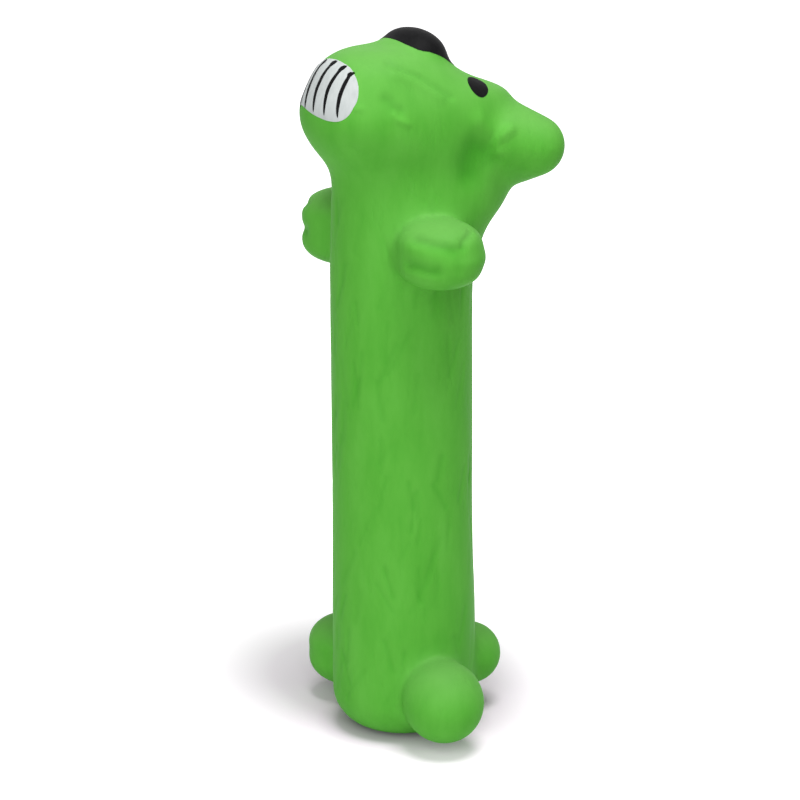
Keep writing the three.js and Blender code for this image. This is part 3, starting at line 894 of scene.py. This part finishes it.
nosePaint = {
    'outline': [
        (-16, 303), (-9, 302), (-4.9, 299.4), (-3.6, 298), (-2.3, 297.1), (-0.7, 296.1),
        (1.2, 295.5), (3.6, 295.1), (6.2, 294.1), (8.5, 293.1), (11.2, 291.8), (12.9, 290.7),
        (16, 289), (19, 287.8), (24, 286.5), (30, 310), (-16, 310),
    ],
    'low': (-0.03, -0.02, 0.275),
    'high': (0.03, 0.035, 0.31),
    'start': -0.028,
    'reach': 0.056,
}


# A point between the middle two of four, on a smooth curve through them
def curvePoint(p0, p1, p2, p3, t):
    return 0.5 * (2 * p1 + (p2 - p0) * t + (2 * p0 - 5 * p1 + 4 * p2 - p3) * t ** 2
                  + (3 * p1 - p0 - 3 * p2 + p3) * t ** 3)


def smoothOutline(corners, steps=6):
    outline = []
    count = len(corners)
    for i in range(count):
        around = [Vector(corners[(i + k) % count]) for k in (-1, 0, 1, 2)]
        for step in range(steps):
            outline.append(tuple(curvePoint(*around, step / steps) / perMetre))
    return outline


# One tooth line from the top, where the brush was set down, to where it was lifted
def lineOutline(path, width):
    path = [Vector(point) for point in path]
    path = [path[0] * 2 - path[1]] + path + [path[-1] * 2 - path[-2]]
    left, right = [], []
    spans, steps = len(path) - 3, lineShape['steps']
    shares, widths = zip(*lineShape['brush'])
    for i in range(spans * steps + 1):
        span = min(i // steps, spans - 1)
        point = curvePoint(*path[span:span + 4], i / steps - span)
        half = width / 2 * np.interp(i / spans / steps, shares, widths)
        left.append(((point.x - half) / perMetre, point.y / perMetre))
        right.append(((point.x + half) / perMetre, point.y / perMetre))
    return right + left[::-1]


# A prism on those corners, as deep as the reach
def addPrism(corners, reach):
    mesh = bpy.data.meshes.new('prism')
    mesh.from_pydata(corners, [], [list(range(len(corners)))])
    prism = bpy.data.objects.new('prism', mesh)
    bpy.context.collection.objects.link(prism)
    choose(prism)
    bpy.ops.object.mode_set(mode='EDIT')
    bpy.ops.mesh.select_all(action='SELECT')
    bpy.ops.mesh.extrude_region_move(TRANSFORM_OT_translate={'value': reach})
    bpy.ops.mesh.select_all(action='SELECT')
    bpy.ops.mesh.normals_make_consistent(inside=False)
    bpy.ops.object.mode_set(mode='OBJECT')
    return prism


# The skin's surface inside a box, as a thin closed sheet that lies over it
def sheetOver(name, low, high, lift):
    sheet = copyOf(skin, name)
    points = pointsOf(sheet)
    inside = np.all((points > np.array(low)) & (points < np.array(high)), axis=1)
    choose(sheet)
    bpy.ops.object.mode_set(mode='EDIT')
    bpy.ops.mesh.select_mode(type='VERT')
    bpy.ops.object.mode_set(mode='OBJECT')
    sheet.data.vertices.foreach_set('select', ~inside)
    bpy.ops.object.mode_set(mode='EDIT')
    bpy.ops.mesh.delete(type='VERT')
    bpy.ops.object.mode_set(mode='OBJECT')
    finer = sheet.modifiers.new('finer', 'SUBSURF')
    finer.levels = finer.render_levels = 1
    thick = sheet.modifiers.new('thick', 'SOLIDIFY')
    thick.thickness = coatShape['under'] + coatShape['over'] + lift
    thick.offset = 1 - 2 * coatShape['under'] / thick.thickness
    finishModifiers(sheet)
    return sheet


def cutCoat(name, sheet, prism, material):
    coat = copyOf(sheet, name)
    cut = coat.modifiers.new('outline', 'BOOLEAN')
    cut.operation = 'INTERSECT'
    cut.solver = 'EXACT'
    cut.object = prism
    finishModifiers(coat)
    bpy.data.objects.remove(prism)
    putMaterial(coat, material)
    shadeSmooth(coat, coatShape['crease'])
    return coat


def frontPrism(outline):
    corners = [(x, mouthShape['start'], z) for x, z in outline]
    return addPrism(corners, (0, mouthShape['reach'], 0))


def paintMouth():
    white = sheetOver('white', mouthShape['low'], mouthShape['high'], 0)
    prism = frontPrism(smoothOutline(mouthShape['outline']))
    teeth = cutCoat('toothCoat', white, prism, whitePaint)
    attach(teeth, 'head')
    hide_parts('tooth_coat')
    black = sheetOver('black', mouthShape['low'], mouthShape['high'], lineShape['lift'])
    for i, (path, width) in enumerate(lineShape['lines']):
        prism = frontPrism(lineOutline(path, width))
        stroke = cutCoat(f'toothLine{i + 1}', black, prism, blackPaint)
        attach(stroke, 'head')
        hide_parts(f'tooth_line_{i + 1}')
    bpy.data.objects.remove(white)
    bpy.data.objects.remove(black)


def paintEyes():
    for side, name in ((1, 'left'), (-1, 'right')):
        lowX, highX = sorted(side * x for x in eyeShape['across'])
        sheet = sheetOver('lid', (lowX, *eyeShape['low']), (highX, *eyeShape['high']), 0)
        corners = [(side * eyeShape['start'], y, z) for y, z in smoothOutline(eyeShape['outline'])]
        prism = addPrism(corners, (side * eyeShape['reach'], 0, 0))
        eye = cutCoat(f'{name}Eye', sheet, prism, blackPaint)
        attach(eye, 'head')
        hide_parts(f'{name}_eye_coat')
        bpy.data.objects.remove(sheet)


def paintNose():
    sheet = sheetOver('dome', nosePaint['low'], nosePaint['high'], 0)
    corners = [
        (nosePaint['start'], y / perMetre, z / perMetre)
        for y, z in nosePaint['outline']
    ]
    nose = cutCoat('noseCoat', sheet, addPrism(corners, (nosePaint['reach'], 0, 0)), blackPaint)
    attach(nose, 'head')
    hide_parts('nose')
    bpy.data.objects.remove(sheet)


paintMouth()
paintEyes()
paintNose()
print('the face is painted')


# The skin is parted inside the chest into a lower and an upper half
partingHeight = 0.19
# The squeaker's seat: a boss of latex inside the base, bored in steps for the spool's flange and
# for the lip that snaps into its groove. Radius, foot and top of each, in metres
squeakerSeat = {
    'boss': (0.0142, 0.0009, 0.0054),
    'bores': [(0.0092, -0.01, 0.003), (0.0073, -0.01, 0.02)],
}


def partSkin():
    halves = []
    for name, keepBelow in (('lowerSkin', True), ('upperSkin', False)):
        half = copyOf(skin, name)
        choose(half)
        bpy.ops.object.mode_set(mode='EDIT')
        bpy.ops.mesh.select_all(action='SELECT')
        bpy.ops.mesh.bisect(
            plane_co=(0, 0, partingHeight), plane_no=(0, 0, 1),
            clear_outer=keepBelow, clear_inner=not keepBelow)
        bpy.ops.object.mode_set(mode='OBJECT')
        wall = half.modifiers.new('wall', 'SOLIDIFY')
        wall.thickness = skinShape['wall']
        wall.offset = -1
        finishModifiers(half)
        putMaterial(half, greenLatex)
        halves.append(half)
    return halves


def addDisc(radius, low, high, sides=72):
    bpy.ops.mesh.primitive_cylinder_add(
        vertices=sides, radius=radius, depth=high - low, location=(0, 0, (low + high) / 2))
    return settle(bpy.context.object, 'disc')


def combined(target, tool, operation):
    joint = target.modifiers.new('joint', 'BOOLEAN')
    joint.operation = operation
    joint.solver = 'EXACT'
    joint.object = tool
    finishModifiers(target)
    bpy.data.objects.remove(tool)


def seatSqueaker(half):
    combined(half, addDisc(*squeakerSeat['boss']), 'UNION')
    for bore in squeakerSeat['bores']:
        combined(half, addDisc(*bore), 'DIFFERENCE')


lowerSkin, upperSkin = partSkin()
seatSqueaker(lowerSkin)
for half in (lowerSkin, upperSkin):
    shadeSmooth(half, skinShape['crease'])
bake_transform(lowerSkin)
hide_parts('rump_skin', 'waist_skin', 'chest_skin', 'left_foot', 'right_foot', 'tail')
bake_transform(upperSkin)
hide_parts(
    'shoulder_skin', 'neck_skin', 'head_skin',
    'left_ear', 'right_ear', 'left_paw', 'right_paw')
bpy.data.objects.remove(skin)
print('the skin is parted:', len(lowerSkin.data.polygons), len(upperSkin.data.polygons))


# The filling: wads of loose fibre that press against the skin all the way up, lumpy where they
# were pushed in, with a pocket for the squeaker's tower. For each, its body or the two that it
# lies between, its foot and its top
wadShape = {
    'inset': 0.0029,
    'voxel': 0.0014,
    'softenShare': 0.5,
    'softenRounds': 6,
    'gap': 0.0003,
    'lump': 0.0009,
    'lumpSize': 0.011,
    'fill': 0.9,
    'pocket': (0.0072, -0.01, 0.0166),
    'zones': [
        ('rump', ['rump'], 0.0078, 0.104),
        ('waist', ['rump', 'chest'], 0.104, 0.132),
        ('chest', ['chest'], 0.132, 0.23),
        ('neck', ['chest', 'head'], 0.23, 0.243),
        ('head', ['head'], 0.243, 0.32),
    ],
}


def shrunkTorso():
    torso = addTorso()
    wrapInVoxels(torso, wadShape['voxel'])
    movePoints(torso, pointsOf(torso) - normalsOf(torso) * wadShape['inset'])
    soften(torso, wadShape['softenShare'], wadShape['softenRounds'])
    return torso


def addWads():
    torso = shrunkTorso()
    for name, bodies, low, high in wadShape['zones']:
        wad = copyOf(torso, f'{name}Fibre')
        choose(wad)
        bpy.ops.object.mode_set(mode='EDIT')
        for height, clearAbove in ((low + wadShape['gap'], False), (high - wadShape['gap'], True)):
            bpy.ops.mesh.select_all(action='SELECT')
            bpy.ops.mesh.bisect(
                plane_co=(0, 0, height), plane_no=(0, 0, 1), use_fill=True,
                clear_outer=clearAbove, clear_inner=not clearAbove)
        bpy.ops.object.mode_set(mode='OBJECT')
        if name == 'rump':
            combined(wad, addDisc(*wadShape['pocket']), 'DIFFERENCE')
        wrapInVoxels(wad, wadShape['voxel'])
        points, normals = pointsOf(wad), normalsOf(wad)
        lumps = np.array([noise.noise(Vector(point) / wadShape['lumpSize']) for point in points])
        points -= normals * (wadShape['lump'] * np.clip(0.5 + lumps, 0, 1))[:, None]
        low, high = low + wadShape['gap'], high - wadShape['gap']
        points[:, 2] = np.clip(points[:, 2], low, high)
        movePoints(wad, points)
        putMaterial(wad, whiteFibre)
        choose(wad)
        bpy.ops.object.shade_smooth()
        if len(bodies) == 2:
            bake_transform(wad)
        else:
            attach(wad, bodies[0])
        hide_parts(f'{name}_fibre')
    bpy.data.objects.remove(torso)


addWads()
print('the fibre is packed in')


# The squeaker and its reed keep their solids and take the plastics' finishes
solidFinishes = {
    'squeaker_body': whitePlastic,
    'squeaker_face': whitePlastic,
    'reed_collar': reedPlastic,
    'reed_shallot': reedPlastic,
    'reed_tongue': reedPlastic,
}
for name, material in solidFinishes.items():
    putMaterial(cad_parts[name], material)
print('the squeaker is dressed')


# A pale floor that glows white away from the toy, two soft lamps and an even sky. The floor's
# colours as the camera sees them go by the distance from the toy's foot, in metres: a painted
# contact shadow darkens them under it, with a pink cast against the toy's green bounce light. Its
# glow sets in over the two distances of its reach, from an off-centre, stretched start that
# outlines the shadow
studio = {
    'floorSize': 12,
    'floorColour': (0.81, 0.8, 0.81, 1),
    'paintedShadowCentre': (0.002, -0.001, 0),
    # Painted contact shadow under the toy, with a pink cast against its green bounce light
    'floorPaintedShadow': [
        (0.012, (0.28, 0.24, 0.28, 1)),
        (0.02, (0.52, 0.45, 0.52, 1)),
        (0.028, (0.76, 0.66, 0.76, 1)),
        (0.038, (1, 0.87, 1, 1)),
        (0.055, (1, 0.92, 1, 1)),
        (0.12, (1, 0.98, 1, 1)),
    ],
    # The glow's off-centre, stretched start sets the painted outline of the shadow round the toy
    'glowCentre': (-0.046, 0.024, 0),
    'glowScale': (1, 1.42, 1),
    'glowReach': (0.062, 0.2),
    'skyStrength': 0.2,
    'lampAim': (0, 0, 0.16),
    'lamps': [
        {'place': (0.33, -0.04, 1.4), 'size': 0.7, 'power': 14.5},
        {'place': (1.6, -1.66, 1.3), 'size': 2.2, 'power': 36},
    ],
}


# The camera sees the floor and the sky in one way, and their light on the toy comes in another
def cameraOrGloss(nodes, links):
    path = nodes.new('ShaderNodeLightPath').outputs
    seen = twoValues(nodes, links, 'MAXIMUM', path['Is Camera Ray'], path['Is Glossy Ray'])
    return twoValues(nodes, links, 'MAXIMUM', seen, path['Is Transmission Ray'])


def chooseBySight(nodes, links, output, unseen, seen):
    choice = nodes.new('ShaderNodeMixShader')
    links.new(cameraOrGloss(nodes, links), choice.inputs[0])
    links.new(unseen.outputs[0], choice.inputs[1])
    links.new(seen.outputs[0], choice.inputs[2])
    links.new(choice.outputs[0], output.inputs['Surface'])


def distanceFrom(nodes, links, centre, scale=(1, 1, 1)):
    node = nodes.new('ShaderNodeVectorMath')
    node.operation = 'DISTANCE'
    links.new(objectCoordinates(nodes, links, scale), node.inputs[0])
    node.inputs[1].default_value = centre
    return node.outputs['Value']


def addFloor():
    bpy.ops.mesh.primitive_plane_add(size=studio['floorSize'], location=(0, 0, 0))
    floor = settle(bpy.context.object, 'floor')
    material = bpy.data.materials.new('paleFloor')
    material.use_nodes = True
    nodes, links = material.node_tree.nodes, material.node_tree.links
    nodes.clear()
    matt = nodes.new('ShaderNodeBsdfDiffuse')
    matt.inputs['Color'].default_value = studio['floorColour']
    glow = nodes.new('ShaderNodeEmission')
    glow.inputs['Color'].default_value = (1, 1, 1, 1)
    away = distanceFrom(nodes, links, studio['glowCentre'], studio['glowScale'])
    links.new(spread(nodes, links, away, 0, 1, *studio['glowReach']), glow.inputs['Strength'])
    # Painted shadow: the floor as the camera sees it darkens under the toy
    paintedShadowFloor = nodes.new('ShaderNodeBsdfDiffuse')
    away = distanceFrom(nodes, links, studio['paintedShadowCentre'])
    links.new(ramp(nodes, links, away, studio['floorPaintedShadow']), paintedShadowFloor.inputs['Color'])
    both = nodes.new('ShaderNodeAddShader')
    links.new(paintedShadowFloor.outputs[0], both.inputs[0])
    links.new(glow.outputs[0], both.inputs[1])
    chooseBySight(nodes, links, nodes.new('ShaderNodeOutputMaterial'), matt, both)
    putMaterial(floor, material)


def backgroundOf(nodes, strength):
    node = nodes.new('ShaderNodeBackground')
    node.inputs['Color'].default_value = (1, 1, 1, 1)
    node.inputs['Strength'].default_value = strength
    return node


def addSky():
    world = bpy.data.worlds.new('sky')
    world.use_nodes = True
    bpy.context.scene.world = world
    nodes, links = world.node_tree.nodes, world.node_tree.links
    nodes.clear()
    light, white = backgroundOf(nodes, studio['skyStrength']), backgroundOf(nodes, 1)
    chooseBySight(nodes, links, nodes.new('ShaderNodeOutputWorld'), light, white)


def addLamps():
    for i, lamp in enumerate(studio['lamps']):
        data = bpy.data.lights.new(f'softLamp{i + 1}', 'AREA')
        data.shape = 'DISK'
        data.size = lamp['size']
        data.energy = lamp['power']
        obj = bpy.data.objects.new(f'softLamp{i + 1}', data)
        bpy.context.collection.objects.link(obj)
        obj.location = lamp['place']
        aim = Vector(studio['lampAim']) - obj.location
        obj.rotation_euler = aim.to_track_quat('-Z', 'Y').to_euler()


addFloor()
addSky()
addLamps()
bpy.context.scene.view_settings.view_transform = 'Standard'
print('the studio is lit')
